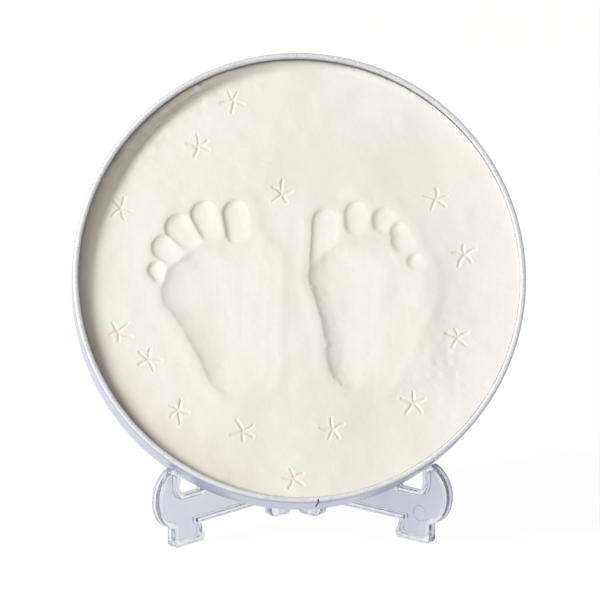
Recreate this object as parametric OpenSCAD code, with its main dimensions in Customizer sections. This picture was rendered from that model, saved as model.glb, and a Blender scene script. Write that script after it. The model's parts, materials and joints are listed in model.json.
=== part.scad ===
// Round tin of imprint clay, leaning on a clear folding easel.
// Millimetres, +Z up, standing on Z = 0, front towards -Y.

/* [Tin] */
// Outside diameter of the tin
tin_d = 170; // [150:1:190]
// Depth of the tin, from its back to its rim
tin_depth = 27; // [22:0.5:34]
// Thickness of the tin sheet
sheet_t = 0.4; // [0.3:0.05:0.6]
// Outside diameter of the rolled rim
curl_d = 2.3; // [1.8:0.1:3]
// Width of the hem turned in round the back
hem_w = 3; // [2:0.5:5]
// Width of the lap at the side seam
seam_w = 5; // [3:0.5:8]
// Angle of the side seam from the lowest point of the tin
seam_angle = 5; // [0:1:15]
// Distance of the stamped ring of the base from its edge
bead_inset = 14; // [8:1:30]
// Width of the stamped ring
bead_w = 5; // [3:0.5:8]
// Height of the stamped ring
bead_h = 0.8; // [0.4:0.1:1.5]

/* [Clay] */
// Depth of the clay face below the underside of the rolled rim
clay_drop = 0.5; // [0.5:0.5:5]
// Depth of the soles of the prints
sole_depth = 2; // [1:0.5:5]
// Depth of the toes of the prints
toe_depth = 1.5; // [1:0.5:4]
// Distance of each heel from the middle line
heel_x = 22; // [20:1:26]
// Distance of the heels below the centre of the clay
heel_drop = 36; // [30:1:40]
// Angle at which both prints are turned
print_turn = 6; // [0:1:12]
// Length of a stroke of a star
stroke_len = 4.8; // [3:0.2:6]
// Width of a stroke of a star
stroke_w = 1.1; // [0.6:0.1:1.6]
// Depth of the stars
star_depth = 1.1; // [0.5:0.1:2]

/* [Easel] */
// Angle of each leaf from the line across the front
leaf_angle = 45; // [40:1:48]
// Angle at which the tin leans back
lean = 21; // [17:1:24]
// Thickness of a leaf at its rim
leaf_t = 3.8; // [3:0.2:5]
// Thickness of the web inside the rim
web_t = 1.8; // [1.2:0.2:2.6]
// Width of the raised rim round a leaf
rim_w = 1.9; // [1.4:0.1:2.4]
// Height of the underside of the arm above the table
arm_bottom = 7.3; // [6.5:0.1:9]
// Height of the arm itself
arm_h = 12.3; // [10:0.1:14]
// Distance from the hinge to the seat of the tin, along a leaf
seat_u = 51.8; // [46:0.2:56]
// Width of the notch between the seat and the hook
notch_w = 12.4; // [10:0.1:15]
// Radius in the corner of the notch
notch_r = 3.5; // [2:0.5:5]
// Outside radius of the hook
hook_r = 12.2; // [11:0.1:13]
// Height of the middle of the hook above the top of the arm
hook_rise = -0.2; // [-3:0.2:1]
// Distance of the middle of the hook in front of its inside edge
hook_out = -0.2; // [-1:0.1:2]
// Width of a leaf across its top
top_w = 7.5; // [5:0.5:10]
// How far the front foot reaches past the inside of the hook
toe_out = 3.4; // [2:0.2:5]
// Length of the front foot at the table
foot_len = 16.8; // [13:0.2:20]
// Slope of the back of the front foot, as a distance along the leaf
foot_taper = 2.2; // [0:0.2:4]
// Radius of the corners of the front foot
foot_r = 2; // [1:0.5:3.5]
// Length of the rear foot
rear_len = 12.5; // [9:0.5:14]
// Radius of the corners of the rear foot
rear_r = 4; // [1:0.5:4.5]

/* [Hinge] */
// Diameter of the hinge pin
pin_d = 3; // [2:0.2:4]
// Outside diameter of a knuckle
knuckle_d = 6.4; // [5.6:0.2:8]
// Thickness of the closed end under the pin
pin_floor = 2; // [1:0.5:4]
// Gap between the rear foot of a leaf and the hinge axis
rear_gap = 0.7; // [0.5:0.1:2]

/* [Clearances] */
// Gap between the tin and the easel where they bear on each other
seat_gap = 0.3; // [0.2:0.1:0.6]
// Radial clearance of the pin in its knuckles
pin_fit = 0.05; // [0.02:0.01:0.1]
// Gap between neighbouring knuckles, and from a knuckle to the other leaf
knuckle_gap = 0.4; // [0.2:0.1:0.8]
// Clearance between the tin's sheets and the clay
sheet_fit = 0.05; // [0.02:0.01:0.1]

/* [Hidden] */
$fn = 96;

// Tin
tin_r = tin_d / 2;
curl_r = curl_d / 2;
base_r = tin_r - sheet_t - sheet_fit;
base_z = sheet_t + sheet_fit;
base_top = base_z + sheet_t;
bead_r = base_r - bead_inset;

// Clay
clay_bottom = base_top + sheet_fit;
clay_top = tin_depth - curl_d - clay_drop;
stroke_count = 5;
// Stars: angle round the clay, distance in from its edge, turn of the star
STARS = [
    [109, 13, 18], [126, 22, 53], [158, 13, 50], [100, 52, 59], [29, 25, 69], [7, 22, 18], [196, 14, 72],
    [208, 20, 5], [227, 17, 56], [249, 23, 11], [267, 9, 61], [281, 26, 28], [311, 21, 68], [338, 21, 47]
];
// Toes of a right foot, from the big toe: place from the heel, radius of the dent at the surface
TOES = [[-5.5, 56, 6.6], [6.5, 58.5, 6], [16, 56, 5.5], [22.5, 49.5, 5.3], [26, 40, 4.2]];
// Sole of a right foot: place from the heel, radius of the dent at the surface
SOLE = [[1.5, 4.5, 12.5], [-3, 37, 12.5], [15.5, 32.5, 12.5]];

// Easel, in the plane of a leaf: u runs from the hinge along the leaf, z is height
arm_top = arm_bottom + arm_h;
post_u = knuckle_d / 2 + knuckle_gap;
hook_in = seat_u + notch_w;
hook_u = hook_in + hook_out;
hook_z = arm_top + hook_rise;
foot_front = hook_in + toe_out;
foot_back = foot_front - foot_len;
rest_slope = tan(lean) / sin(leaf_angle);
rest_shift = sqrt(1 + rest_slope * rest_slope);
leaf_top = arm_top + (seat_u - post_u - top_w) / rest_slope;
above_hook = hook_z + 2 * hook_r;

// Hinge
knuckle_count = 5;
knuckle_z = arm_bottom + knuckle_gap;
knuckle_pitch = (leaf_top - knuckle_z + knuckle_gap) / knuckle_count;
knuckle_h = knuckle_pitch - knuckle_gap;
LEFT_KNUCKLES = [0, 2, 4];
RIGHT_KNUCKLES = [1, 3];

// Centre of the tin's back, from the hinge: it sits on both arms and lies on both leaves
seat_x = seat_u * cos(leaf_angle);
seat_climb = sqrt(pow(tin_r + seat_gap, 2) - seat_x * seat_x);
back_y = -seat_u * sin(leaf_angle) + seat_climb * sin(lean) - seat_gap * cos(lean);
back_z = arm_top + seat_climb * cos(lean) + seat_gap * sin(lean);

// Hinge axis, placed so that the whole object is centred on the origin
front_reach = (tin_r - curl_r) * sin(lean) + (tin_depth - curl_r) * cos(lean) + curl_r;
rear_reach = tin_r * sin(lean);
hinge_y = (front_reach - rear_reach) / 2 - back_y;

// Radius of a ball that leaves a dent of a given radius and depth
function ball_r(dent_r, depth) = (dent_r * dent_r + depth * depth) / (2 * depth);

// Distance along the leaf of the edge that the tin leans on
function rest_u(z) = seat_u - (z - arm_top) * rest_slope;

// Distance down the slope from the tin's axis to its wall, above the leaf's inner face
function wall_drop(u) = sqrt(tin_r * tin_r - pow(u * cos(leaf_angle), 2));

// Distance of that point of the wall in front of the tin's back
function wall_ahead(u) = (back_y - wall_drop(u) * sin(lean) + u * sin(leaf_angle)) / cos(lean);

// Height of the tin's wall above the leaf's inner face
function wall_z(u) = back_z - wall_drop(u) * cos(lean) + wall_ahead(u) * sin(lean);

module place_tin() {
    translate([0, hinge_y + back_y, back_z])
        rotate([90 - lean, 0, 0])
            children();
}

module tin_side_wall() {
    color("lightsteelblue")
        place_tin() {
            rotate_extrude() {
                wall_profile();
                curl_profile();
            }
            side_seam();
        }
}

module wall_profile() {
    translate([tin_r - sheet_t, 0])
        square([sheet_t, tin_depth - curl_r]);
    translate([tin_r - hem_w, 0])
        square([hem_w, sheet_t]);
}

module curl_profile() {
    translate([tin_r - curl_r, tin_depth - curl_r])
        difference() {
            circle(d = curl_d);
            circle(d = curl_d - 2 * sheet_t);
            translate([0, -curl_r])
                square([curl_r - sheet_t, curl_r]);
        }
}

module side_seam() {
    half_turn = seam_w / tin_r * 90 / PI;
    outside = tin_r + sheet_t;
    rotate([0, 0, seam_angle - 90])
        linear_extrude(tin_depth - curl_d)
            intersection() {
                difference() {
                    circle(r = outside);
                    circle(r = tin_r - sheet_t / 2);
                }
                polygon([
                    [0, 0],
                    [2 * outside, -2 * outside * tan(half_turn)],
                    [2 * outside, 2 * outside * tan(half_turn)]
                ]);
            }
}

module tin_base_disc() {
    color("lightsteelblue")
        place_tin()
            rotate_extrude()
                difference() {
                    bead_outline(base_z, base_top, 0);
                    bead_outline(base_z - sheet_t, base_z, 0);
                }
}

// Half section of a flat disc with a raised ring on its upper side
module bead_outline(bottom, top, grow) {
    half = bead_w / 2 + grow;
    crown = bead_w / 4 + grow;
    polygon([
        [0, bottom],
        [base_r, bottom],
        [base_r, top],
        [bead_r + half, top],
        [bead_r + crown, top + bead_h],
        [bead_r - crown, top + bead_h],
        [bead_r - half, top],
        [0, top]
    ]);
}

module clay_imprint() {
    color("ivory")
        place_tin()
            difference() {
                rotate_extrude()
                    difference() {
                        translate([0, clay_bottom])
                            square([base_r, clay_top - clay_bottom]);
                        bead_outline(0, clay_bottom, sheet_fit);
                    }
                translate([0, 0, clay_top]) {
                    foot_prints();
                    stars();
                }
            }
}

module foot_prints() {
    for (side = [0, 1])
        translate([(2 * side - 1) * heel_x, -heel_drop, 0])
            rotate([0, 0, print_turn])
                mirror([1 - side, 0, 0])
                    foot_print();
}

module foot_print() {
    hull()
        for (dent = SOLE)
            translate([dent[0], dent[1], 0])
                scale([1, 1, sole_depth / dent[2]])
                    sphere(r = dent[2], $fn = 32);
    for (toe = TOES)
        translate([toe[0], toe[1], ball_r(toe[2], toe_depth) - toe_depth])
            sphere(r = ball_r(toe[2], toe_depth));
}

module stars() {
    for (star = STARS)
        rotate([0, 0, star[0]])
            translate([base_r - star[1], 0, -star_depth])
                rotate([0, 0, star[2]])
                    linear_extrude(2 * star_depth)
                        for (stroke = [0 : stroke_count - 1])
                            rotate(stroke * 360 / stroke_count)
                                translate([0, -stroke_w / 2])
                                    square([stroke_len, stroke_w]);
}

module easel_leaf_left() {
    color("lavender")
        translate([0, hinge_y, 0])
            mirror([1, 0, 0])
                rotate([0, 0, -leaf_angle])
                    leaf(LEFT_KNUCKLES);
}

module easel_leaf_right() {
    color("lavender")
        translate([0, hinge_y, 0])
            rotate([0, 0, -leaf_angle])
                leaf(RIGHT_KNUCKLES);
}

// One leaf, from the hinge along +X, with its inner face on Y = 0
module leaf(knuckles) {
    difference() {
        union() {
            stand_up(0, leaf_t)
                difference() {
                    leaf_outline(0);
                    leaf_outline(rim_w);
                }
            stand_up((leaf_t - web_t) / 2, web_t)
                leaf_outline(0);
            stand_up(0, leaf_t)
                round_box(rear_gap, rear_gap + rear_len, 0, arm_bottom, rear_r);
            for (k = knuckles)
                translate([0, 0, knuckle_z + k * knuckle_pitch])
                    knuckle();
        }
        translate([0, 0, knuckle_z + pin_floor])
            cylinder(r = pin_d / 2 + pin_fit, h = leaf_top);
    }
}

// Stands a flat outline up, from one distance behind the inner face to another
module stand_up(from, thick) {
    translate([0, from + thick, 0])
        rotate([90, 0, 0])
            linear_extrude(thick)
                children();
}

module knuckle() {
    cylinder(d = knuckle_d, h = knuckle_h);
    cube([post_u + rim_w, leaf_t, knuckle_h]);
}

// Outline of a leaf, drawn in by a distance
module leaf_outline(inset) {
    back_panel(inset);
    difference() {
        union() {
            front_foot(inset);
            translate([hook_u, hook_z])
                circle(r = hook_r - inset);
        }
        notch(inset);
        hook_tip(inset);
    }
}

// The arm, and the panel with the edge that the tin leans on
module back_panel(inset) {
    low = arm_bottom + inset;
    seat = arm_top - inset;
    high = leaf_top - inset;
    back = post_u + inset;
    slant = inset * rest_shift;
    polygon([
        [back, low],
        [hook_in, low],
        [hook_in, seat],
        [rest_u(seat) - slant, seat],
        [rest_u(high) - slant, high],
        [back, high]
    ]);
}

// The front foot, with its back edge sloped and its two lower corners rounded
module front_foot(inset) {
    back = foot_back + inset;
    front = foot_front - inset;
    knee = inset + foot_r;
    for (u = [back + foot_r, front - foot_r])
        translate([u, knee])
            circle(r = foot_r);
    polygon([
        [back + foot_r, inset],
        [front - foot_r, inset],
        [front, knee],
        [front, hook_z],
        [back + foot_taper, hook_z],
        [back + foot_taper, arm_bottom],
        [back, knee]
    ]);
}

// A box with its two lower corners rounded
module round_box(left, right, low, high, r) {
    intersection() {
        translate([left, low])
            square([right - left, high - low]);
        union() {
            translate([left, low + r])
                square([right - left, high - low]);
            translate([left + r, low])
                square([right - left - 2 * r, high - low]);
            for (x = [left + r, right - r])
                translate([x, low + r])
                    circle(r = r);
        }
    }
}

// Space between the seat and the hook
module notch(inset) {
    floor_z = arm_top - inset;
    corner_u = hook_in - notch_r;
    corner_z = arm_top + notch_r;
    translate([0, floor_z])
        square([corner_u, above_hook - floor_z]);
    translate([corner_u, corner_z])
        square([notch_r + inset, above_hook - corner_z]);
    translate([corner_u, corner_z])
        circle(r = notch_r + inset);
}

// Trims the end of the hook to the tin's wall
module hook_tip(inset) {
    near_u = hook_in - notch_r;
    far_u = hook_u + hook_r;
    slope = (wall_z(far_u) - wall_z(near_u)) / (far_u - near_u);
    drop = (seat_gap + inset) * sqrt(1 + slope * slope);
    polygon([
        [near_u, wall_z(near_u) - drop],
        [far_u, wall_z(far_u) - drop],
        [far_u, above_hook],
        [near_u, above_hook]
    ]);
}

module hinge_pin() {
    color("lavender")
        translate([0, hinge_y, knuckle_z + pin_floor])
            cylinder(d = pin_d, h = leaf_top - knuckle_z - pin_floor);
}

tin_side_wall();
tin_base_disc();
clay_imprint();
easel_leaf_left();
easel_leaf_right();
hinge_pin();
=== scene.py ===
"""Looks of a round tin of imprint clay that leans on a clear folding easel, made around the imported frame."""
import json
import math

import bmesh
import bpy
import numpy as np
from mathutils import Matrix, Vector


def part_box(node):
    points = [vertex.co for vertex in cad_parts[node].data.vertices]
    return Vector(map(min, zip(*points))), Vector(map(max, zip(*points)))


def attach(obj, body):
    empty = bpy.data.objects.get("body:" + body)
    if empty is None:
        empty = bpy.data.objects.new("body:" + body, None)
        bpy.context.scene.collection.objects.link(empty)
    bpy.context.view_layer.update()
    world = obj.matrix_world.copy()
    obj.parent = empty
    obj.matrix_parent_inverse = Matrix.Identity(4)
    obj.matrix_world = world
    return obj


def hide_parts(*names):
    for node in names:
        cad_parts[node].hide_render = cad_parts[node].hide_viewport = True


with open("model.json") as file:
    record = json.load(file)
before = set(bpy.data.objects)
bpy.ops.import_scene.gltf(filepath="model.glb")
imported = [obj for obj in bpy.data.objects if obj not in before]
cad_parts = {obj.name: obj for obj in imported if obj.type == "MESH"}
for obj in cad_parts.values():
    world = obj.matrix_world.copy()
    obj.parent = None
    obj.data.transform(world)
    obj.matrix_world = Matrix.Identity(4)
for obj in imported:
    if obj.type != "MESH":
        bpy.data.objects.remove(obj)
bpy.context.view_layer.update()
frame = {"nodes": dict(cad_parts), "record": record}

# Lengths are millimetres unless a name says otherwise, and MM turns them into metres.
# A pair of radii or places says where something starts and where it is full, and a pair of turns gives the
# middle and the spread in degrees. A pair for hills gives their width and the seed of their draw.
MM = 0.001

# Tin
LEAN = math.radians(21)
TIN_DEPTH = 27.0
SHEET = 0.4
HEM = 3.0
BACK_ROUND = 0.5
WALL_SEGMENTS = 480
# The straight wall is drawn from so far above the rounded back to so far below the middle of the curl
WALL_FROM = 2.0
WALL_TO = 0.3
CURL_R = 1.15
# Radius and squareness of the curl as it is drawn, where 2 is round: its front is a little flat
CURL_DRAWN = 1.09
CURL_SQUARE = 2.6
# Turn and step of the curl in degrees, from its outside, and points inside it, on the back and up the wall
CURL_TURN = 270
CURL_STEP = 10
CURL_INSIDE_POINTS = 16
BACK_POINTS = 5
WALL_POINTS = 6
# Steps of the curl between which the rim takes its bright sheet; outside them a darker sheet paints shade on
# the curl's outer shoulder and underside
RIM_FROM = 5
RIM_TO = 18

# Seam: its turn from the lowest point; length, step, rise and fall of the lap; depth and width of the groove
SEAM_ANGLE = math.radians(3.4)
SEAM_LAP = 5.0
SEAM_STEP = 0.2
SEAM_RISE = (0.1, 0.4)
SEAM_FALL = 0.25
SEAM_GROOVE = 0.4
SEAM_GROOVE_WIDTH = 0.28
# Half width and depth of the open gap in the groove, and the step of the curl to which it stays open; a
# near-black sheet paints the shade inside it
SEAM_GAP = 0.32
SEAM_GAP_DEPTH = 20.0
SEAM_GAP_TO = 9
# Extra cuts round the wall beside the seam, measured from it
SEAM_CUTS = (-0.5, -0.3, 0.0, 0.3, 0.5)
# Share of the groove that the wall, the curl and the inside take
ON_WALL = 1
ON_CURL = 0.6
INSIDE = 0

# Clay: x to the right, y up the slope, from the middle of the tin
CLAY_EDGE = 82.78
CLAY_TUCK = 84.4
CLAY_FLOOR = 0.95
CLAY_LEVEL = 24.0
CLAY_RISE_X = 0.012
CLAY_RISE_Y = -0.012
CLAY_CELLS = 520
# Clearance of the clay's side under the curl
CLAY_STEP = 0.3
# How far the clay has shrunk from the rim at the top
CLAY_SHRINK = 0.2
SHRINK_TURNS = (80, 24)
SHRINK_FROM = 74
# Uneven ground: height of the hills, their width and the seed of their draw
CLAY_HILLS = [(0.3, 31, 3), (0.14, 13, 4), (0.05, 4.5, 5), (0.012, 1.3, 6)]
# Climb to the rim on the right, along x and a little down the slope
CLIMB = 1.2
CLIMB_FROM = 60
CLIMB_PLACES = (-20, 60)
CLIMB_SLANT = 0.45
# Torn skin along the rim at the upper left: streaks, the sharp ridges between them, and blotches
TORN_RADII = (67, 80)
TORN_TURNS = (132, 28)
STREAK_HILLS = (1.1, 8)
STREAK_STRETCH = 12
STREAK_HEIGHT = 0.25
RIDGE_HEIGHT = 0.3
RIDGE_HALF = 0.3
RIDGE_RADII = (75, 79)
BLOTCH_HILLS = (2.2, 16)
BLOTCH_HEIGHT = 0.14
# Lip of clay pushed up at the rim there, and a crumb that sticks to it
LIP_HEIGHT = 1.3
LIP_RADII = (79, 82.6)
LIP_TURNS = (116, 40)
CRUMB_PLACE = (-36.6, 73.2)
CRUMB_HEIGHT = 1.3
CRUMB_WIDTH = 1.1
# Drop at the very edge, away from the climb, and how much it varies
EDGE_DROP = 0.2
EDGE_DROP_SWING = 0.2
EDGE_DROP_FROM = 81.7
EDGE_HILLS = (1.6, 10)
# Rough ground beside the right foot: middle and spread along x and y
ROUGH_HEIGHT = 0.09
ROUGH_HILLS = (2.2, 15)
ROUGH_X = (54, 8)
ROUGH_Y = (-30, 18)
# Soft ridge to the right of the right foot: middle and spread along x, then its two ends along y
SOFT_RIDGE = 0.35
SOFT_RIDGE_X = (46, 7)
SOFT_RIDGE_LOW = (-50, -30)
SOFT_RIDGE_HIGH = (16, -4)

# Tints of the clay: pale ground; a stain along the lower left rim, which is also painted warm shade in the
# rim's shadow; worn skin at the upper left, which is also painted shade in the rim's shadow there; and painted
# shade in the toe creases and the stars' strokes.
# Their pairs for x and y say where a tint starts and where it is full.
PALE_MEAN = 0.45
PALE_SWING = 0.55
PALE_HILLS = (21, 12)
PALE_RIGHT = 0.4
PALE_X = (10, 80)
# Stain along the lower left rim, which also paints warm shade into the rim's shadow there
STAIN_SHADE_MEAN = 0.75
STAIN_SHADE_SWING = 0.25
STAIN_SHADE_HILLS = (9, 13)
STAIN_SHADE_RADII = (66, 82)
STAIN_SHADE_X = (25, -35)
STAIN_SHADE_Y = (60, 0)
# Worn skin at the upper left, tinted brown as painted shade in the rim's shadow there
WORN_SHADE_MEAN = 0.6
WORN_SHADE_STREAKS = 0.35
WORN_SHADE_BLOTCHES = 0.5
WORN_SHADE_RADII = (68, 79)
WORN_SHADE_TURNS = (134, 26)
# Share of the groove tint that the toe creases take, as painted shade
CREASE_SHADE_TINT = 0.8

# Foot prints: the side on which the feet pressed hardest, and where that side blends into the soft one
HARD_SIDE = (-0.92, 0.39)
SIDE_BLEND = 0.6
# Dents: depth and width of the lip at the edge, then depth and width of the bowl inside it
SOFT_SOLE = (0.0, 1.2, 0.6, 18.0)
LEFT_SOLE_DENT = (0.34, 1.0, 0.7, 9.0)
RIGHT_SOLE_DENT = (0.38, 1.0, 0.95, 7.5)
SOFT_TOE = (0.15, 0.6, 0.36, 6.0)
LEFT_TOE_DENT = (0.44, 0.45, 0.4, 3.0)
RIGHT_TOE_DENT = (0.3, 0.6, 0.42, 3.2)
# Roundness of the edges, and of the hollows where strips of a sole, or a toe and a sole, meet
SOLE_EDGE = 0.4
TOE_EDGE = 0.2
SOLE_BLEND = 3.0
TOE_BLEND = 0.25
# Waves of the sole's edge, width of its finer roughness, and how much softer the sole is under the toes
SOLE_WAVE = 0.35
SOLE_WAVE_CELL = 6.0
SOLE_ROUGH_CELL = 1.7
UNDER_TOES = 1.1
# Painted shade in a crease on the hard side of a toe: its place and width at the edge, and the side that it is
# on
CREASE_EDGE = (-0.1, 0.5)
CREASE_SIDE = (0, 0.8)
# Swell around a print: its height, and its distance from the edge and width
SWELL = 0.12
SWELL_EDGE = (2.0, 2.5)
# Soles: circles (x, y, radius) of the heel, then across the ball of the foot from the inside out
LEFT_SOLE = [(-23, -32, 12.5), (-21, 2, 12.5), (-31.5, 1.5, 11.5), (-39, -4, 12.3)]
RIGHT_SOLE = [(23.5, -30.5, 13), (17, 0, 13), (27, 1, 13.5), (37, -4, 13)]
# Toes: circle of the tip and circle of the root, from the big toe; the right foot's fourth takes two pairs
LEFT_TOES = [
    ((-23.2, 24.8, 5.3), (-22.4, 17.5, 4.9)), ((-35.2, 24.6, 5.3), (-33.0, 18.4, 4.4)),
    ((-44.8, 19.6, 5.5), (-41.2, 15.6, 4.6)), ((-50.3, 12.2, 5.1), (-48.2, 9.8, 4.3)),
    ((-53.3, 3.7, 3.7), (-52.2, 0.6, 2.5)),
]
RIGHT_TOES = [
    ((10.3, 21.1, 5.4), (9.0, 6.5, 5.3)), ((22.0, 23.9, 5.0), (21.7, 20.0, 4.6)),
    ((32.4, 21.6, 4.9), (32.2, 20.4, 4.6)), ((37.6, 17.2, 3.6), (38.4, 16.0, 3.6)),
    ((39.0, 13.3, 4.6), (39.6, 12.4, 4.6)), ((43.6, 5.4, 3.6), (44.6, 4.6, 3.6)),
]
# Feet: sole and its dent, toes and their dent, roughness of the sole's edge and the seed of its draw
FEET = [
    (LEFT_SOLE, LEFT_SOLE_DENT, LEFT_TOES, LEFT_TOE_DENT, 0.12, 21),
    (RIGHT_SOLE, RIGHT_SOLE_DENT, RIGHT_TOES, RIGHT_TOE_DENT, 0.3, 31),
]

# Stars: angle round the clay, distance in from the tin's inside, turn of the star, in degrees and millimetres
STARS = [
    (109, 13, 18), (126, 22, 53), (158, 13, 50), (100, 52, 59), (29, 25, 69), (7, 22, 18), (196, 14, 72),
    (208, 20, 5), (227, 17, 56), (249, 23, 11), (267, 9, 61), (281, 26, 28), (311, 21, 68), (338, 21, 47),
]
STAR_SEED = 11
STAR_STROKES = 5
STAR_DEPTH = 0.26
STROKE_LEN = 4.5
STROKE_HALF = 0.38
STROKE_SOFT = 0.35
# How the strokes differ: sway in degrees, share of the length, of the half width and of that at the tip,
# bow to one side and how far along it lies, and how far the start misses the middle
STROKE_SWAY = 13
STROKE_LENGTHS = (0.8, 1.12)
STROKE_HALVES = (0.7, 1.1)
STROKE_TIPS = (0.6, 1.0)
STROKE_BOW = 0.5
STROKE_BOW_AT = 0.55
STROKE_MISS = 0.4
# Burr pushed up beside a stroke: its height, and its distance from the edge and width
BURR = 0.04
BURR_EDGE = (0.7, 0.45)

# Easel: rounding of its moulded edges, the turn from which an edge is sharp, and the turn of each leaf
EDGE_ROUND = 0.35
SHARP_EDGE = math.radians(28)
LEAF_ANGLE = math.radians(45)
# Thickness of a leaf at its ribs, and how deep its web lies below them
LEAF_T = 3.8
WEB_INSET = 1.0
# Points closer than the length are welded, and faces that meet at less than the angle are joined
WELD = 0.002
FLAT_ANGLE = math.radians(0.3)
# How near a face lies to a plane to count as on it, and how well it has to face that way
NEAR = 0.1
FACING = 0.99
# Reach of the rear feet from the hinge, and the height up to which they show under the tin
REAR_REACH = 14.0
REAR_TOP = 6.0
# Ring that a mould pin left on the right leaf: distance from the hinge, height, radius, half width and relief
RING_U = 62.2
RING_Z = 11.0
RING_R = 3.1
RING_HALF = 0.2
RING_RELIEF = 0.03
RING_SEGMENTS = 72
RING_POINTS = 7

# Places of the materials on the wall after its plain sheet, and on a leaf after its web. On the wall the gap
# and edge sheets paint shade; on a leaf the edge plastic paints glints and the rib plastic a highlight.
WALL_RIM = 1
WALL_GAP_SHADE = 2
WALL_EDGE_SHADE = 3
LEAF_EDGE_GLINTS = 1
LEAF_RIB_HIGHLIGHT = 2

# Colours: darker and paler tone of each sheet, plastic and ground
CREAM = ((0.84, 0.82, 0.77, 1), (0.868, 0.862, 0.848, 1))
STEEL_WALL = ((0.43, 0.46, 0.58, 1), (0.54, 0.57, 0.69, 1))
STEEL_RIM = ((0.42, 0.43, 0.445, 1), (0.715, 0.72, 0.735, 1))
# Near-black sheet that paints the shade inside the seam's open gap
STEEL_GAP_SHADE = ((0.02, 0.02, 0.03, 1), (0.04, 0.04, 0.06, 1))
# Darker sheet that paints shade on the curl's outer shoulder and underside
STEEL_EDGE_SHADE = ((0.42, 0.44, 0.51, 1), (0.52, 0.54, 0.61, 1))
STEEL_BASE = ((0.55, 0.56, 0.62, 1), (0.68, 0.69, 0.75, 1))
PLASTIC_LEFT = ((0.75, 0.765, 0.86, 1), (0.80, 0.815, 0.89, 1))
# Darker copy of the same plastic for the right leaf, as painted shade
PLASTIC_RIGHT_SHADED = ((0.66, 0.68, 0.79, 1), (0.72, 0.74, 0.835, 1))
# Plastic of the rounded edges, in patches from dark to white as painted glints
PLASTIC_EDGE_GLINTS = ((0.60, 0.62, 0.71, 1), (1.0, 1.0, 1.0, 1))
PLASTIC_MARK = ((0.94, 0.95, 0.98, 1), (1.0, 1.0, 1.0, 1))
# Paler plastic on the flat ribs, as a painted highlight
PLASTIC_RIB_HIGHLIGHT = ((0.75, 0.76, 0.83, 1), (0.94, 0.945, 0.975, 1))
FLOOR_WHITE = ((0.93, 0.93, 0.93, 1), (0.95, 0.95, 0.95, 1))
WHITE = (1, 1, 1, 1)
# Colours laid over the clay's cream, and the most that shows of each
CLAY_BLOTCH = ((0.80, 0.775, 0.72, 1), 0.16)
CLAY_DUST = ((0.90, 0.89, 0.865, 1), 0.25)
# Brown of worn skin, which also paints the shade of the rim's shadow at the upper left
CLAY_WORN_AND_SHADE = ((0.62, 0.55, 0.43, 1), 0.45)
# Brown of the stain along the lower left rim, which also warms the rim's shadow as painted shade
CLAY_STAIN_AND_SHADE = ((0.74, 0.66, 0.53, 1), 0.5)
# Tan laid into the strokes and toe creases as painted shade
CLAY_GROOVE_SHADE = ((0.80, 0.70, 0.54, 1), 0.42)
# Range in which most values of a noise lie
NOISE_RANGE = (0.3, 0.7)
# Sockets of a mix node for colours
MIX_AMOUNT = 0
MIX_FIRST = 6
MIX_SECOND = 7
MIX_RESULT = 2

# View: the picture's middle lies below the middle of the rim by the drop
VIEW_AZIMUTH = math.radians(-3.5)
VIEW_ELEVATION = math.radians(13.6)
VIEW_DISTANCE = 1900.0
VIEW_DROP = 8.78
LENS = 305.0
SENSOR = 36.0

# Studio
FLOOR_HALF_M = 6.0
FLOOR_GLOW = 1.075
FLOOR_GLOW_SHARE = 0.88
AMBIENT = 0.205
AMBIENT_TINT = (1.0, 0.92, 0.77)

# Places worked out from the frame: the middle of the tin's back, and the hinge's foot on the table
wall_low, wall_high = (Vector(corner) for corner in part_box("tin_side_wall"))
TIN_R = (wall_high.x - wall_low.x) / 2 / MM
reach_up = (TIN_R - CURL_R) * math.cos(LEAN) + (TIN_DEPTH - CURL_R) * math.sin(LEAN) + CURL_R
reach_front = (TIN_R - CURL_R) * math.sin(LEAN) + (TIN_DEPTH - CURL_R) * math.cos(LEAN) + CURL_R
tin_back = Vector((0, wall_low.y + reach_front * MM, wall_high.z - reach_up * MM))
tin_place = Matrix.Translation(tin_back) @ Matrix.Rotation(math.pi / 2 - LEAN, 4, "X") @ Matrix.Scale(MM, 4)
fold = next(joint for joint in frame["record"]["behaviour"]["joints"] if joint["name"] == "easel_fold")
hinge_foot = Vector((fold["pos_m"][0], fold["pos_m"][1], 0))


# Small tools

def smooth(low, high, value):
    """0 below low, 1 above high, with an even bend between."""
    t = np.clip((value - low) / (high - low), 0, 1)
    return t * t * (3 - 2 * t)


def bell(value, middle, width):
    """1 at the middle, fading to either side over about one width."""
    return np.exp(-((value - middle) / width) ** 2)


def hills(x, y, cell, seed):
    """Smooth random ground between -1 and 1, with hills about one cell wide."""
    side = 64
    table = np.random.default_rng(seed).uniform(-1, 1, (side, side))
    u = x / cell
    v = y / cell
    i = np.floor(u).astype(int)
    j = np.floor(v).astype(int)
    a = smooth(0, 1, u - i)
    b = smooth(0, 1, v - j)
    near = table[i % side, j % side] * (1 - a) + table[(i + 1) % side, j % side] * a
    far = table[i % side, (j + 1) % side] * (1 - a) + table[(i + 1) % side, (j + 1) % side] * a
    return near * (1 - b) + far * b


def soft_least(a, b, reach):
    """The lesser of two distances, blended where they are closer than reach."""
    h = np.clip(0.5 + 0.5 * (b - a) / reach, 0, 1)
    return b * (1 - h) + a * h - reach * h * (1 - h)


def turn_of(x, y):
    """Turn of a point round the origin, in degrees from the x axis."""
    return np.degrees(np.arctan2(y, x))


def on_circle(middle, radius, degrees):
    """Point on a circle at that turn from the x axis."""
    turn = math.radians(degrees)
    return middle[0] + radius * math.cos(turn), middle[1] + radius * math.sin(turn)


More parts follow.
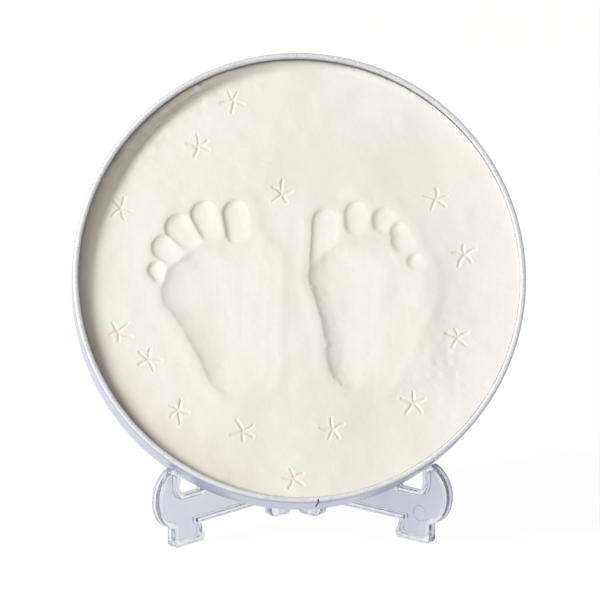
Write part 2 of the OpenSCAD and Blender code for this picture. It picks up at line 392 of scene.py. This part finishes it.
def ring_faces(count, size):
    """Faces of a closed ring of so many sections, each a closed outline of so many points."""
    faces = []
    for i in range(count):
        here = i * size
        there = (i + 1) % count * size
        for j in range(size):
            k = (j + 1) % size
            faces.append((here + j, there + j, there + k, here + k))
    return faces


def riding(name, mesh, body):
    """An object of that mesh that rides on a body."""
    mesh.shade_smooth()
    obj = bpy.data.objects.new(name, mesh)
    bpy.context.scene.collection.objects.link(obj)
    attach(obj, body)
    return obj


def piece(name, points, faces, material, body, place):
    """A smooth mesh piece that rides on a body."""
    mesh = bpy.data.meshes.new(name)
    mesh.from_pydata(points, [], faces)
    mesh.transform(place)
    mesh.materials.append(material)
    return riding(name, mesh, body)


# Materials

class Nodes:
    """Builds one node material, step by step."""

    def __init__(self, name):
        self.material = bpy.data.materials.new(name)
        self.material.use_nodes = True
        self.tree = self.material.node_tree
        self.shader = self.tree.nodes["Principled BSDF"]
        self.place = self.tree.nodes.new("ShaderNodeTexCoord").outputs["Object"]

    def add(self, kind, **sockets):
        node = self.tree.nodes.new(kind)
        for name, value in sockets.items():
            self.feed(node.inputs[name.replace("_", " ")], value)
        return node

    def feed(self, socket, value):
        if isinstance(value, bpy.types.NodeSocket):
            self.tree.links.new(value, socket)
        else:
            socket.default_value = value

    def set(self, **sockets):
        for name, value in sockets.items():
            self.feed(self.shader.inputs[name.replace("_", " ")], value)

    def noise(self, cell, detail=3.0, rough=0.5, stretch=None):
        """Noise with grains about one cell wide, in millimetres, stretched along the axes if asked."""
        place = self.place
        if stretch:
            place = self.add("ShaderNodeMapping", Vector=place, Scale=stretch).outputs["Vector"]
        scale = 1 / (cell * MM)
        node = self.add("ShaderNodeTexNoise", Vector=place, Scale=scale, Detail=detail, Roughness=rough)
        return node.outputs["Fac"]

    def tint(self, name):
        """A tint that the mesh carries at its points."""
        node = self.add("ShaderNodeAttribute")
        node.attribute_name = name
        return node.outputs["Fac"]

    def ramp(self, value, low, high, out_low=0.0, out_high=1.0):
        """The value, with the range from low to high spread over that from out_low to out_high."""
        node = self.add(
            "ShaderNodeMapRange", Value=value, From_Min=low, From_Max=high, To_Min=out_low, To_Max=out_high,
        )
        return node.outputs["Result"]

    def share(self, value, most):
        """A value from 0 to 1, scaled down to that most."""
        return self.ramp(value, 0, 1, 0, most)

    def mix(self, amount, first, second):
        """The first colour, with that amount of the second."""
        node = self.tree.nodes.new("ShaderNodeMix")
        node.data_type = "RGBA"
        self.feed(node.inputs[MIX_AMOUNT], amount)
        self.feed(node.inputs[MIX_FIRST], first)
        self.feed(node.inputs[MIX_SECOND], second)
        return node.outputs[MIX_RESULT]

    def bump(self, height, depth, strength=1.0, below=None):
        """Relief of that depth in millimetres, on top of the one below if there is one."""
        node = self.add("ShaderNodeBump", Height=height, Distance=depth * MM, Strength=strength)
        if below:
            self.feed(node.inputs["Normal"], below)
        return node.outputs["Normal"]


def clay_material():
    """Air-dried clay: cream with blotches and dust, under the tints that the mesh carries, some of which are
    painted shade.
    """
    n = Nodes("air_dried_clay")
    blotch = n.ramp(n.noise(cell=6), 0.4, 0.7)
    fine = n.ramp(n.noise(cell=1.6, detail=4.0, rough=0.6), *NOISE_RANGE)
    colour = n.mix(n.tint("pale"), *CREAM)
    # The worn, stain and groove tints are painted shade, in part or in whole
    for where, (layer, most) in (
        (blotch, CLAY_BLOTCH), (fine, CLAY_DUST), (n.tint("worn_and_shade"), CLAY_WORN_AND_SHADE),
        (n.tint("stain_and_shade"), CLAY_STAIN_AND_SHADE), (n.tint("groove"), CLAY_GROOVE_SHADE),
    ):
        colour = n.mix(n.share(where, most), colour, layer)
    n.set(Base_Color=colour, Specular_IOR_Level=0.25)
    n.set(Roughness=n.ramp(fine, 0, 1, out_low=0.78, out_high=0.92))
    grain = n.bump(n.noise(cell=0.5, rough=0.6), depth=0.05, strength=0.6)
    n.set(Normal=n.bump(n.noise(cell=3.5), depth=0.12, strength=0.5, below=grain))
    return n.material


def steel_material(name, tones, rough, speckle, metallic=0.6):
    """Rolled tin sheet: two tones and roughnesses in fine speckle, paler in broad clouds."""
    n = Nodes(name)
    grain = n.noise(speckle, detail=4.0, rough=0.65)
    cloud = n.ramp(n.noise(cell=22, detail=2.0), *NOISE_RANGE)
    speckled = n.mix(n.ramp(grain, *NOISE_RANGE), *tones)
    n.set(Base_Color=n.mix(n.share(cloud, 0.3), speckled, tones[1]), Metallic=metallic)
    n.set(Roughness=n.ramp(grain, *NOISE_RANGE, *rough))
    n.set(Normal=n.bump(grain, depth=0.02, strength=0.3))
    return n.material


def plastic_material(name, tones, cell=9.0, sharp=0.2, clear=0.82):
    """Clear moulded plastic with flow marks of one cell, between two tints; the rest of its body is milky."""
    n = Nodes(name)
    flow = n.noise(cell, detail=2.0, stretch=(1, 1, 0.35))
    n.set(Base_Color=n.mix(n.ramp(flow, 0.5 - sharp, 0.5 + sharp), *tones))
    n.set(Roughness=n.ramp(flow, *NOISE_RANGE, out_low=0.06, out_high=0.14))
    n.set(IOR=1.49, Transmission_Weight=clear)
    n.set(Normal=n.bump(flow, depth=0.03, strength=0.25))
    return n.material


def floor_material():
    """White ground: mostly plain white to the eye, but it still takes the object's shadow."""
    n = Nodes("white_ground")
    mottle = n.ramp(n.noise(cell=60, detail=2.0), *NOISE_RANGE)
    n.set(Base_Color=n.mix(mottle, *FLOOR_WHITE), Roughness=0.9, Specular_IOR_Level=0.1)
    glow = n.add("ShaderNodeEmission", Color=WHITE, Strength=FLOOR_GLOW)
    blend = n.add("ShaderNodeMixShader")
    amount = n.share(seen_by_eye(n.tree), FLOOR_GLOW_SHARE)
    for socket, value in zip(blend.inputs, (amount, n.shader.outputs["BSDF"], glow.outputs["Emission"])):
        n.feed(socket, value)
    n.feed(n.tree.nodes["Material Output"].inputs["Surface"], blend.outputs["Shader"])
    return n.material


def seen_by_eye(tree):
    """1 for camera rays and for what metal and clear plastic show of the background, else 0."""
    path = tree.nodes.new("ShaderNodeLightPath")
    total = path.outputs["Is Camera Ray"]
    for name in ("Is Glossy Ray", "Is Transmission Ray"):
        node = tree.nodes.new("ShaderNodeMath")
        node.operation = "MAXIMUM"
        tree.links.new(total, node.inputs[0])
        tree.links.new(path.outputs[name], node.inputs[1])
        total = node.outputs[0]
    return total


# Foot prints

def strip_distance(x, y, a, b):
    """Distance outside a round-ended strip between two circles (x, y, radius)."""
    run_x = b[0] - a[0]
    run_y = b[1] - a[1]
    t = np.clip(((x - a[0]) * run_x + (y - a[1]) * run_y) / (run_x ** 2 + run_y ** 2), 0, 1)
    return np.hypot(x - a[0] - t * run_x, y - a[1] - t * run_y) - a[2] - t * (b[2] - a[2])


def hard_side(x, y, middle_x, middle_y, radius):
    """How far a point lies to the hard side of a middle, as a share of the radius."""
    return ((x - middle_x) * HARD_SIDE[0] + (y - middle_y) * HARD_SIDE[1]) / radius


def dent_depth(edge, side, soft, hard, reach):
    """Depth of a dent from the distance outside its edge; side runs from -1, soft, to 1, hard."""
    share = smooth(-SIDE_BLEND, SIDE_BLEND, side)
    lip, lip_wide, bowl, bowl_wide = (low + (high - low) * share for low, high in zip(soft, hard))
    inside = np.logaddexp(0, -edge / reach) * reach
    return lip * (1 - np.exp(-inside / lip_wide)) + bowl * (1 - (1 - np.clip(inside / bowl_wide, 0, 1)) ** 2)


def sole_depth(x, y, sole, hard, rough, seed):
    """Depth of a sole, and the distance outside its edge, which is rough by so much."""
    heel, *ball = sole
    strips = [(heel, circle) for circle in ball] + list(zip(ball, ball[1:]))
    edge = strip_distance(x, y, *strips[0])
    for a, b in strips[1:]:
        edge = soft_least(edge, strip_distance(x, y, a, b), SOLE_BLEND)
    edge = edge + SOLE_WAVE * hills(x, y, SOLE_WAVE_CELL, seed)
    edge += rough * hills(x, y, SOLE_ROUGH_CELL, seed + 1)
    # The middle line of the sole runs from the heel to the middle of the ball
    inner = ball[0]
    outer = ball[-1]
    along = np.clip((y - heel[1]) / (inner[1] - heel[1]), 0, 1)
    middle_x = heel[0] + along * ((inner[0] + outer[0]) / 2 - heel[0])
    middle_y = np.clip(y, heel[1], inner[1])
    side = hard_side(x, y, middle_x, middle_y, heel[2])
    # The edge of the sole is soft under the toes
    side -= UNDER_TOES * smooth(inner[1], inner[1] + inner[2], y)
    return dent_depth(edge, side, SOFT_SOLE, hard, SOLE_EDGE), edge


def toe_depth(x, y, toe, hard):
    """Depth of a toe, the distance outside its edge, and the painted shade of the crease on its hard side."""
    tip, root = toe
    edge = strip_distance(x, y, tip, root)
    middle_x = (tip[0] + root[0]) / 2
    middle_y = np.clip(y, min(tip[1], root[1]), max(tip[1], root[1]))
    side = hard_side(x, y, middle_x, middle_y, tip[2])
    crease_shade = bell(edge, *CREASE_EDGE) * smooth(*CREASE_SIDE, side)
    return dent_depth(edge, side, SOFT_TOE, hard, TOE_EDGE), edge, crease_shade


def print_depth(x, y, sole, sole_dent, toes, toe_dent, rough, seed):
    """Depth of one foot print, the distance outside its edge, and the painted shade of the creases of its
    toes.
    """
    depth, edge = sole_depth(x, y, sole, sole_dent, rough, seed)
    crease_shades = np.zeros_like(x)
    for toe in toes:
        dent, toe_edge, crease_shade = toe_depth(x, y, toe, toe_dent)
        depth = -soft_least(-depth, -dent, TOE_BLEND)
        edge = np.minimum(edge, toe_edge)
        crease_shades = np.maximum(crease_shades, crease_shade)
    return depth, edge, crease_shades


# Stars

def stroke_point(middle, way, along, aside, half):
    """Circle (x, y, radius) on a stroke, so far along its way and so far to its left."""
    return (
        middle[0] + along * math.cos(way) - aside * math.sin(way),
        middle[1] + along * math.sin(way) + aside * math.cos(way), half,
    )


def star_strokes(rng, middle, turn):
    """The strokes of one star round its middle, each as two strips between circles."""
    strips = []
    for stroke in range(STAR_STROKES):
        way = math.radians(turn + stroke * 360 / STAR_STROKES + rng.uniform(-STROKE_SWAY, STROKE_SWAY))
        length = STROKE_LEN * rng.uniform(*STROKE_LENGTHS)
        bow = rng.uniform(-STROKE_BOW, STROKE_BOW)
        half = STROKE_HALF * rng.uniform(*STROKE_HALVES)
        start_x = middle[0] + rng.uniform(-STROKE_MISS, STROKE_MISS)
        start_y = middle[1] + rng.uniform(-STROKE_MISS, STROKE_MISS)
        bend = stroke_point(middle, way, STROKE_BOW_AT * length, bow, half)
        tip = stroke_point(middle, way, length, 0, half * rng.uniform(*STROKE_TIPS))
        strips += [((start_x, start_y, half), bend), (bend, tip)]
    return strips


def star_marks(x, y):
    """Depth of the scratched stars, and how deep inside a stroke each point lies, which tints the strokes as
    painted shade.
    """
    rng = np.random.default_rng(STAR_SEED)
    depth = np.zeros_like(x)
    groove = np.zeros_like(x)
    for angle, inset, turn in STARS:
        middle = on_circle((0, 0), TIN_R - SHEET - inset, angle)
        away = 2 * STROKE_LEN
        near = np.hypot(x - middle[0], y - middle[1]) < away
        edge = np.full(near.sum(), away)
        for a, b in star_strokes(rng, middle, angle + turn):
            edge = np.minimum(edge, strip_distance(x[near], y[near], a, b))
        cut = smooth(STROKE_SOFT, -STROKE_SOFT, edge)
        depth[near] += STAR_DEPTH * cut - BURR * bell(edge, *BURR_EDGE)
        # The groove tint paints shade into the strokes
        groove[near] = np.maximum(groove[near], cut)
    return depth, groove


# Clay

def disc_grid(cells):
    """A square grid bent onto the unit disc."""
    line = np.linspace(-1, 1, cells + 1)
    a, b = np.meshgrid(line, line)
    wide = np.abs(a) >= np.abs(b)
    radius = np.where(wide, a, b)
    safe = np.where(radius == 0, 1, radius)
    angle = np.where(wide, math.pi / 4 * b / safe, math.pi / 2 - math.pi / 4 * a / safe)
    return radius * np.cos(angle), radius * np.sin(angle)


def clay_ground(x, y):
    """Height of the clay above the tin's back, before the rim, the prints and the stars change it."""
    height = CLAY_LEVEL + CLAY_RISE_X * x + CLAY_RISE_Y * y
    for rise, cell, seed in CLAY_HILLS:
        height += rise * hills(x, y, cell, seed)
    height += ROUGH_HEIGHT * hills(x, y, *ROUGH_HILLS) * bell(x, *ROUGH_X) * bell(y, *ROUGH_Y)
    height += SOFT_RIDGE * bell(x, *SOFT_RIDGE_X) * smooth(*SOFT_RIDGE_LOW, y) * smooth(*SOFT_RIDGE_HIGH, y)
    return height


def clay_rim(x, y):
    """Height that the clay gains beside the rim, and the tint of its worn skin there, which is also painted
    shade in the rim's shadow at the upper left.
    """
    radius = np.hypot(x, y)
    turn = turn_of(x, y)
    right = smooth(*CLIMB_PLACES, x - CLIMB_SLANT * y)
    height = CLIMB * np.clip((radius - CLIMB_FROM) / (CLAY_EDGE - CLIMB_FROM), 0, 1) ** 2 * right
    blotches = hills(x, y, *BLOTCH_HILLS)
    streaks = hills(radius, np.radians(turn) * radius / STREAK_STRETCH, *STREAK_HILLS)
    sharp = np.clip(1 - np.abs(streaks) / RIDGE_HALF, 0, 1)
    ridges = smooth(*RIDGE_RADII, radius) * (STREAK_HEIGHT * streaks + RIDGE_HEIGHT * sharp)
    torn = smooth(*TORN_RADII, radius) * bell(turn, *TORN_TURNS)
    height += torn * (ridges + BLOTCH_HEIGHT * blotches)
    height += LIP_HEIGHT * smooth(*LIP_RADII, radius) * bell(turn, *LIP_TURNS)
    from_crumb = np.hypot(x - CRUMB_PLACE[0], y - CRUMB_PLACE[1])
    height += CRUMB_HEIGHT * bell(from_crumb, 0, CRUMB_WIDTH)
    drop = EDGE_DROP + EDGE_DROP_SWING * hills(x, y, *EDGE_HILLS)
    height -= drop * smooth(EDGE_DROP_FROM, CLAY_EDGE, radius) * (1 - right)
    # The worn tint is also painted shade: it darkens and warms the rim's shadow at the upper left
    patches = np.clip(WORN_SHADE_MEAN + WORN_SHADE_STREAKS * streaks + WORN_SHADE_BLOTCHES * blotches, 0, 1)
    worn_and_shade = smooth(*WORN_SHADE_RADII, radius) * bell(turn, *WORN_SHADE_TURNS) * patches
    return height, worn_and_shade


def clay_surface(x, y):
    """Height of the clay above the tin's back, and its tints: painted shade in the strokes and creases, pale
    ground, a stain with painted shade along the lower left rim, and worn skin with painted shade at the upper
    left.
    """
    rim, worn_and_shade = clay_rim(x, y)
    stars, groove = star_marks(x, y)
    height = clay_ground(x, y) + rim - stars
    for foot in FEET:
        depth, edge, crease_shades = print_depth(x, y, *foot)
        height += SWELL * bell(edge, *SWELL_EDGE) - depth
        # Toe creases take the groove tint as painted shade
        groove = np.maximum(groove, CREASE_SHADE_TINT * crease_shades)
    pale = PALE_MEAN + PALE_SWING * hills(x, y, *PALE_HILLS) + PALE_RIGHT * smooth(*PALE_X, x)
    # Stain near the rim on the lower left, also painted warm shade in the rim's shadow
    stain_and_shade = smooth(*STAIN_SHADE_RADII, np.hypot(x, y)) * smooth(*STAIN_SHADE_X, x) * smooth(*STAIN_SHADE_Y, y)
    stain_and_shade *= STAIN_SHADE_MEAN + STAIN_SHADE_SWING * hills(x, y, *STAIN_SHADE_HILLS)
    return height, {"groove": groove, "pale": np.clip(pale, 0, 1), "stain_and_shade": stain_and_shade, "worn_and_shade": worn_and_shade}


def make_clay():
    """The clay as one closed piece: its worked face, its side and its flat back."""
    unit_x, unit_y = disc_grid(CLAY_CELLS)
    x = CLAY_EDGE * unit_x
    y = CLAY_EDGE * unit_y
    height, tints = clay_surface(x, y)
    shrunk = CLAY_SHRINK * bell(turn_of(x, y), *SHRINK_TURNS) * smooth(SHRINK_FROM, CLAY_EDGE, np.hypot(x, y))
    x = x * (1 - shrunk / CLAY_EDGE)
    y = y * (1 - shrunk / CLAY_EDGE)
    row = CLAY_CELLS + 1
    index = np.arange(row * row).reshape(row, row)
    corners = [index[:-1, :-1], index[:-1, 1:], index[1:, 1:], index[1:, :-1]]
    faces = np.stack(corners, axis=-1).reshape(-1, 4).tolist()
    face = np.stack([x, y, height], axis=-1).reshape(-1, 3)
    loop = np.concatenate([index[0, :-1], index[:-1, -1], index[-1, :0:-1], index[:0:-1, 0]])
    # The side goes straight down past the curl of the rim, then out to the wall and down to the base
    under_curl = TIN_DEPTH - 2 * CURL_R - CLAY_STEP
    drop = face[loop].copy()
    drop[:, 2] = np.minimum(drop[:, 2] - CLAY_STEP, under_curl)
    wide = CLAY_TUCK / CLAY_EDGE
    tuck = drop * [wide, wide, 1] - [0, 0, CLAY_STEP]
    low = tuck.copy()
    low[:, 2] = CLAY_FLOOR
    points = np.concatenate([face, drop, tuck, low])
    count = len(loop)
    rings = [loop] + [len(face) + i * count + np.arange(count) for i in range(3)]
    for upper, lower in zip(rings, rings[1:]):
        faces += np.stack([upper, lower, np.roll(lower, -1), np.roll(upper, -1)], axis=-1).tolist()
    faces.append(rings[-1][::-1].tolist())
    obj = piece("clay_slab", points.tolist(), faces, clay_material(), "tin", tin_place)
    # The side and the back carry no tint
    plain = np.zeros(len(points) - len(face))
    for name, tint in tints.items():
        layer = obj.data.attributes.new(name, "FLOAT", "POINT")
        layer.data.foreach_set("value", np.concatenate([tint.ravel(), plain]))
    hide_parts("clay_imprint")


# Tin

def wall_section():
    """Outline of the wall's section: distance from the axis, height, and share of the seam's groove."""
    top = TIN_DEPTH - CURL_R
    mid = TIN_R - CURL_R
    outline = [(TIN_R - HEM, 0.0, INSIDE)]
    for turn in np.linspace(-90, 0, BACK_POINTS):
        outline.append((*on_circle((TIN_R - BACK_ROUND, BACK_ROUND), BACK_ROUND, turn), ON_WALL))
    for height in np.linspace(BACK_ROUND + WALL_FROM, top - WALL_TO, WALL_POINTS):
        outline.append((TIN_R, height, ON_WALL))
    for turn in np.linspace(0, CURL_TURN, CURL_TURN // CURL_STEP + 1):
        out, up = on_circle((0, 0), 1, turn)
        power = 2 / CURL_SQUARE if turn < 180 else 1
        out = math.copysign(abs(out) ** power, out)
        up = math.copysign(abs(up) ** power, up)
        outline.append((mid + CURL_DRAWN * out, top + CURL_DRAWN * up, ON_CURL))
    for turn in np.linspace(CURL_TURN, 0, CURL_INSIDE_POINTS):
        outline.append((*on_circle((mid, top), CURL_R - SHEET, turn), INSIDE))
    outline.append((TIN_R - SHEET, SHEET, INSIDE))
    outline.append((TIN_R - HEM, SHEET, INSIDE))
    return outline


def paint_wall(mesh, outline, along):
    """Give the rim its bright sheet, and paint shade with darker sheets into the open seam and onto the rest
    of the curl; along starts at the seam.
    """
    first_curl = next(j for j, point in enumerate(outline) if point[2] == ON_CURL)
    for face in mesh.polygons:
        i, j = divmod(face.index, len(outline))
        _, height, share = outline[j]
        turned = j - first_curl
        beside_seam = max(abs(along[i]), abs(along[(i + 1) % len(along)])) < SEAM_GAP
        open_here = share > 0 and height > TIN_DEPTH - SEAM_GAP_DEPTH and turned < SEAM_GAP_TO
        # Faces in the seam's open gap take a near-black sheet as painted shade
        if beside_seam and open_here:
            face.material_index = WALL_GAP_SHADE
        elif turned >= 0:
            # The curl outside the rim's steps takes a darker sheet as painted shade
            face.material_index = WALL_RIM if RIM_FROM <= turned < RIM_TO else WALL_EDGE_SHADE


def make_wall():
    """The rolled wall with its curled rim and lapped seam."""
    outline = wall_section()
    seam = SEAM_ANGLE - math.pi / 2
    cuts = np.array([*SEAM_CUTS, SEAM_LAP, SEAM_LAP + SEAM_FALL]) / TIN_R
    even = np.linspace(0, 2 * math.pi, WALL_SEGMENTS, endpoint=False)
    angles = np.sort(np.concatenate([even, (seam + cuts) % (2 * math.pi)]))
    along = ((angles - seam + math.pi) % (2 * math.pi) - math.pi) * TIN_R
    groove = SEAM_GROOVE * bell(along, 0, SEAM_GROOVE_WIDTH)
    lap = SEAM_STEP * (smooth(*SEAM_RISE, along) - smooth(SEAM_LAP, SEAM_LAP + SEAM_FALL, along))
    points = []
    for angle, sink, step in zip(angles, groove, lap):
        for distance, height, share in outline:
            r = distance - share * sink + (step if share == ON_WALL else 0)
            points.append((r * math.cos(angle), r * math.sin(angle), height))
    sheet = steel_material("tin_sheet_wall", STEEL_WALL, rough=(0.26, 0.4), speckle=0.5)
    faces = ring_faces(len(angles), len(outline))
    obj = piece("tin_wall_rolled", points, faces, sheet, "tin", tin_place)
    for material in (
        steel_material("tin_sheet_rim", STEEL_RIM, rough=(0.6, 0.75), speckle=0.55, metallic=0.95),
        # Painted shade inside the seam's open gap
        steel_material("tin_sheet_gap_shade", STEEL_GAP_SHADE, rough=(0.5, 0.7), speckle=0.5),
        # Painted shade on the curl's outer shoulder and underside
        steel_material("tin_sheet_edge_shade", STEEL_EDGE_SHADE, rough=(0.45, 0.6), speckle=0.45, metallic=0.7),
    ):
        obj.data.materials.append(material)
    paint_wall(obj.data, outline, along)
    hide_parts("tin_side_wall")


def dress_base():
    """The base keeps its CAD shape and takes the look of the sheet."""
    base = frame["nodes"]["tin_base_disc"]
    base.data.materials[0] = steel_material("tin_sheet_base", STEEL_BASE, rough=(0.25, 0.38), speckle=0.6)


# Easel

def is_rear(face, along):
    """Whether a face of a leaf that reaches along that way belongs to its rear foot."""
    reach = max(along.dot(point.co - hinge_foot) for point in face.verts)
    top = max(point.co.z for point in face.verts)
    return reach < REAR_REACH * MM and top < (REAR_TOP + NEAR) * MM


def paint_ribs(work, side):
    """Give the flat ribs of a leaf a paler plastic as a painted highlight, and the rear foot the edges'
    plastic with its painted glints.
    """
    across = Vector((side * math.sin(LEAF_ANGLE), math.cos(LEAF_ANGLE), 0))
    along = Vector((side * math.cos(LEAF_ANGLE), -math.sin(LEAF_ANGLE), 0))
    for face in work.faces:
        depth = across.dot(face.verts[0].co - hinge_foot) / MM
        on_rib = min(abs(depth), abs(depth - LEAF_T)) < NEAR
        if on_rib and abs(across.dot(face.normal)) > FACING:
            # Ribs take the paler plastic as a painted highlight, and rear feet take the edges' painted glints
            face.material_index = LEAF_EDGE_GLINTS if is_rear(face, along) else LEAF_RIB_HIGHLIGHT


def make_leaf(node, body, side, *plastics):
    """The left, -1, or right, 1, leaf of the easel, with plastics for its web, its rounded edges, which carry
    painted glints, and its ribs, which carry a painted highlight.
    """
    name = node + "_moulded"
    mesh = frame["nodes"][node].data.copy()
    mesh.name = name
    mesh.materials.clear()
    for plastic in plastics:
        mesh.materials.append(plastic)
    work = bmesh.new()
    work.from_mesh(mesh)
    bmesh.ops.remove_doubles(work, verts=work.verts, dist=WELD * MM)
    bmesh.ops.dissolve_limit(work, angle_limit=FLAT_ANGLE, verts=work.verts, edges=work.edges)
    # The faces are cut where the rear foot ends
    everything = work.verts[:] + work.edges[:] + work.faces[:]
    bmesh.ops.bisect_plane(work, geom=everything, plane_co=(0, 0, REAR_TOP * MM), plane_no=(0, 0, 1))
    work.normal_update()
    paint_ribs(work, side)
    sharp = [e for e in work.edges if len(e.link_faces) == 2 and e.calc_face_angle() > SHARP_EDGE]
    # The rounded edges take the plastic with painted glints
    bmesh.ops.bevel(
        work, geom=sharp, offset=EDGE_ROUND * MM, segments=2, profile=0.5, affect="EDGES",
        clamp_overlap=True, material=LEAF_EDGE_GLINTS,
    )
    work.to_mesh(mesh)
    work.free()
    obj = riding(name, mesh, body)
    even = obj.modifiers.new("even_faces", "WEIGHTED_NORMAL")
    even.weight = 100
    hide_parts(node)


def make_mould_ring(material):
    """The faint ring that a mould pin left on the web of the right leaf."""
    outline = []
    for turn in np.linspace(0, math.pi, RING_POINTS):
        outline.append((RING_R + RING_HALF * math.cos(turn), RING_RELIEF * math.sin(turn)))
    outline += [(RING_R - RING_HALF, -RING_RELIEF / 2), (RING_R + RING_HALF, -RING_RELIEF / 2)]
    points = []
    for angle in np.linspace(0, 2 * math.pi, RING_SEGMENTS, endpoint=False):
        points += [(r * math.cos(angle), r * math.sin(angle), h) for r, h in outline]
    faces = ring_faces(RING_SEGMENTS, len(outline))
    leaf = Matrix.Translation(hinge_foot) @ Matrix.Rotation(-LEAF_ANGLE, 4, "Z") @ Matrix.Scale(MM, 4)
    seat = Matrix.Translation((RING_U, WEB_INSET, RING_Z)) @ Matrix.Rotation(math.pi / 2, 4, "X")
    piece("mould_ring_right", points, faces, material, "easel_right", leaf @ seat)


def make_easel():
    """The two leaves and the ring on the right one; the pin keeps its CAD shape and takes the left look."""
    left = plastic_material("clear_plastic_left", PLASTIC_LEFT)
    # The right leaf takes a darker copy of the plastic as painted shade
    right = plastic_material("clear_plastic_right_shaded", PLASTIC_RIGHT_SHADED)
    # Rounded edges and rear feet: patches from dark to white as painted glints
    edge = plastic_material("clear_plastic_edge_glints", PLASTIC_EDGE_GLINTS, cell=2.2, sharp=0.1, clear=0.92)
    mark = plastic_material("clear_plastic_mark", PLASTIC_MARK)
    # Flat ribs: paler plastic as a painted highlight
    rib_highlight = plastic_material("clear_plastic_rib_highlight", PLASTIC_RIB_HIGHLIGHT, cell=3.5, sharp=0.15, clear=0.92)
    make_leaf("easel_leaf_left", "easel_left", -1, left, edge, rib_highlight)
    make_leaf("easel_leaf_right", "easel_right", 1, right, edge, rib_highlight)
    make_mould_ring(mark)
    frame["nodes"]["hinge_pin"].data.materials[0] = left


# Studio

def make_floor():
    mesh = bpy.data.meshes.new("ground")
    corners = [(x * FLOOR_HALF_M, y * FLOOR_HALF_M, 0) for x, y in ((-1, -1), (1, -1), (1, 1), (-1, 1))]
    mesh.from_pydata(corners, [], [(0, 1, 2, 3)])
    mesh.materials.append(floor_material())
    ground = bpy.data.objects.new("ground", mesh)
    bpy.context.scene.collection.objects.link(ground)


def make_world():
    """A dim warm light from all round, which the eye sees as plain white."""
    world = bpy.data.worlds.new("studio")
    bpy.context.scene.world = world
    world.use_nodes = True
    tree = world.node_tree
    shade = tree.nodes.new("ShaderNodeMix")
    shade.data_type = "RGBA"
    shade.inputs[MIX_FIRST].default_value = [AMBIENT * part for part in AMBIENT_TINT] + [1]
    shade.inputs[MIX_SECOND].default_value = WHITE
    tree.links.new(seen_by_eye(tree), shade.inputs[MIX_AMOUNT])
    tree.links.new(shade.outputs[MIX_RESULT], tree.nodes["Background"].inputs["Color"])


def aim(obj, place, target):
    obj.location = place
    obj.rotation_euler = (target - place).to_track_quat("-Z", "Y").to_euler()


def around(target, azimuth, elevation, distance):
    """A place seen from the target at that azimuth and elevation, in radians and metres."""
    flat = math.cos(elevation)
    way = Vector((math.sin(azimuth) * flat, -math.cos(azimuth) * flat, math.sin(elevation)))
    return target + way * distance


def add_light(name, target, azimuth, elevation, distance, size, power, colour):
    """A softbox of that width and height, in metres and watts; its angles are in degrees."""
    lamp = bpy.data.lights.new(name, "AREA")
    lamp.shape = "RECTANGLE"
    lamp.size, lamp.size_y = size
    lamp.energy = power
    lamp.color = colour
    obj = bpy.data.objects.new(name, lamp)
    bpy.context.scene.collection.objects.link(obj)
    aim(obj, around(target, math.radians(azimuth), math.radians(elevation), distance), target)


def make_camera(target):
    lens = bpy.data.cameras.new("photo_view")
    lens.lens = LENS
    lens.sensor_width = SENSOR
    camera = bpy.data.objects.new("photo_view", lens)
    bpy.context.scene.collection.objects.link(camera)
    aim(camera, around(target, VIEW_AZIMUTH, VIEW_ELEVATION, VIEW_DISTANCE * MM), target)
    bpy.context.scene.camera = camera


def make_studio():
    """White ground, world, two softboxes at the left and the camera, all set round the middle of the rim."""
    rim_middle = tin_place @ Vector((0, 0, TIN_DEPTH))
    make_floor()
    make_world()
    add_light(
        "key", rim_middle, azimuth=-66.8, elevation=24.4, distance=3.0,
        size=(0.5, 2.2), power=106.0, colour=(1.0, 0.99, 0.98),
    )
    add_light(
        "low_fill", rim_middle, azimuth=-43, elevation=4.5, distance=3.0,
        size=(0.9, 0.5), power=12.5, colour=(1.0, 0.94, 0.83),
    )
    up_in_view = Vector((
        -math.sin(VIEW_AZIMUTH) * math.sin(VIEW_ELEVATION),
        math.cos(VIEW_AZIMUTH) * math.sin(VIEW_ELEVATION),
        math.cos(VIEW_ELEVATION),
    ))
    make_camera(rim_middle - up_in_view * VIEW_DROP * MM)
    bpy.context.scene.view_settings.view_transform = "Standard"


make_clay()
make_wall()
dress_base()
make_easel()
make_studio()
